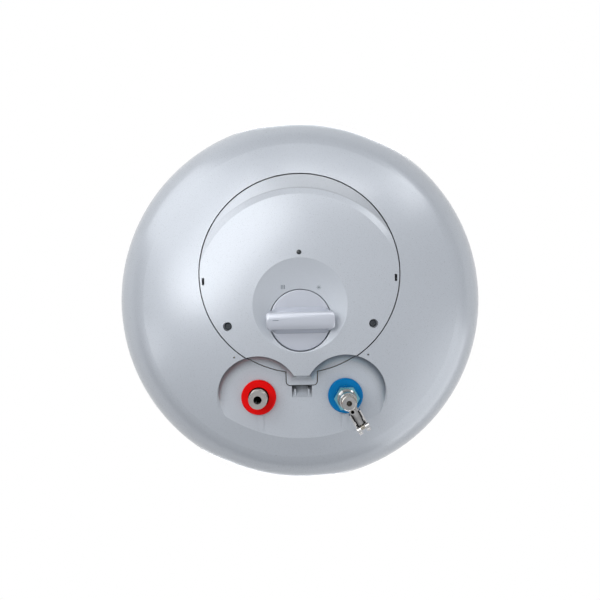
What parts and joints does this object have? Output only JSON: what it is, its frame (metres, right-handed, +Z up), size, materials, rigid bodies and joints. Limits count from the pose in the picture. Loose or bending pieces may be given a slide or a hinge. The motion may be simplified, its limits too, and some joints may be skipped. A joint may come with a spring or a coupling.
{
  "type": "storage water heater",
  "caption": "Wall-hung upright electric storage water heater with dished caps, service cover, thermostat knob, hot and cold pipes and a safety valve with a test lever.",
  "frame": {"origin": "middle of the two hanging holes, on the wall plane", "axes": "+Z up along the heater, +Y into the wall, +X to the right of someone who faces it"},
  "size_m": [0.436, 0.4545, 0.8029],
  "materials": {
    "casing": "white enamel paint, satin",
    "cap": "moulded, fine satin",
    "cover": "moulded, semi-gloss",
    "knob": "moulded, semi-gloss",
    "tank": "enamelled steel",
    "foam": "rigid foam, cut",
    "gasket": "moulded rubber",
    "plated": "zinc plated",
    "element": "sheathed element",
    "anode": "cast magnesium",
    "copper": "drawn copper",
    "brass": "turned brass",
    "black_plastic": "moulded, matt",
    "natural_plastic": "moulded, natural",
    "pipe_steel": "threaded steel pipe",
    "valve": "chrome-plated brass",
    "bracket": "zinc-coated sheet",
    "red": "moulded red plastic",
    "blue": "moulded blue plastic",
    "brown_lead": "insulated wire",
    "lens": "translucent lens"
  },
  "bodies": {
    "heater": {"outer_casing": "casing", "top_cap": "cap", "bottom_cap": "cap", "service_cover": "cover", "inner_tank": "tank", "foam_insulation": "foam", "flange_gasket": "gasket", "flange_plate": "plated", "flange_studs": "plated", "flange_nuts": "plated", "heating_element": "element", "anode_rod": "anode", "anode_nut": "plated", "thermostat_sheath": "plated", "thermostat_body": "black_plastic", "thermostat_bulb": "copper", "thermal_cutout": "black_plastic", "terminal_block": "natural_plastic", "terminal_screws": "plated", "cover_screws": "plated", "lamp_lens": "lens", "lamp_holder": "natural_plastic", "hot_spigot": "pipe_steel", "hot_liner": "natural_plastic", "hot_collar": "red", "cold_spigot": "pipe_steel", "cold_liner": "natural_plastic", "cold_collar": "blue", "hot_tube": "pipe_steel", "cold_diffuser": "natural_plastic", "valve_body": "valve", "valve_bonnet": "valve", "poppet_guide": "natural_plastic", "relief_spring": "plated", "check_spring": "plated", "live_lead": "brown_lead", "neutral_lead": "blue", "element_leads": "black_plastic", "lamp_leads": "black_plastic", "wall_bracket": "bracket", "bracket_bolts": "plated", "wall_spacer": "black_plastic"},
    "knob": {"thermostat_knob": "knob", "thermostat_spindle": "plated"},
    "reset": {"reset_button": "red"},
    "relief_valve": {"relief_stem": "brass", "relief_seal": "gasket"},
    "lever": {"relief_lever": "valve", "lever_pin": "valve"},
    "check_valve": {"check_poppet": "natural_plastic"}
  },
  "joints": [
    {"name": "knob_turn", "type": "hinge", "parent": "heater", "child": "knob", "pos_m": [0, -0.2134, -0.55], "axis": [0, 0, 1], "range_deg": [-241, 61]},
    {"name": "reset_push", "type": "slide", "parent": "heater", "child": "reset", "axis": [0, 0, 1], "range_m": [0, 0.002], "stiffness_N_per_m": 400, "springref_m": -0.0005},
    {"name": "relief_lift", "type": "slide", "parent": "heater", "child": "relief_valve", "axis": [0.4695, 0.8829, 0], "range_m": [0, 0.0025], "stiffness_N_per_m": 400, "springref_m": -0.001, "deforming": ["relief_spring"]},
    {"name": "lever_lift", "type": "hinge", "parent": "relief_valve", "child": "lever", "pos_m": [0.06596, -0.09528, -0.581], "axis": [-0.8829, 0.4695, 0], "range_deg": [0, 92]},
    {"name": "check_slide", "type": "slide", "parent": "heater", "child": "check_valve", "axis": [0, 0, 1], "range_m": [0, 0.0035], "stiffness_N_per_m": 60, "springref_m": -0.003, "deforming": ["check_spring"]}
  ],
  "couplings": [
    {"joint": "lever_lift", "follows": "relief_lift", "rad_per_m": 628.32}
  ]
}
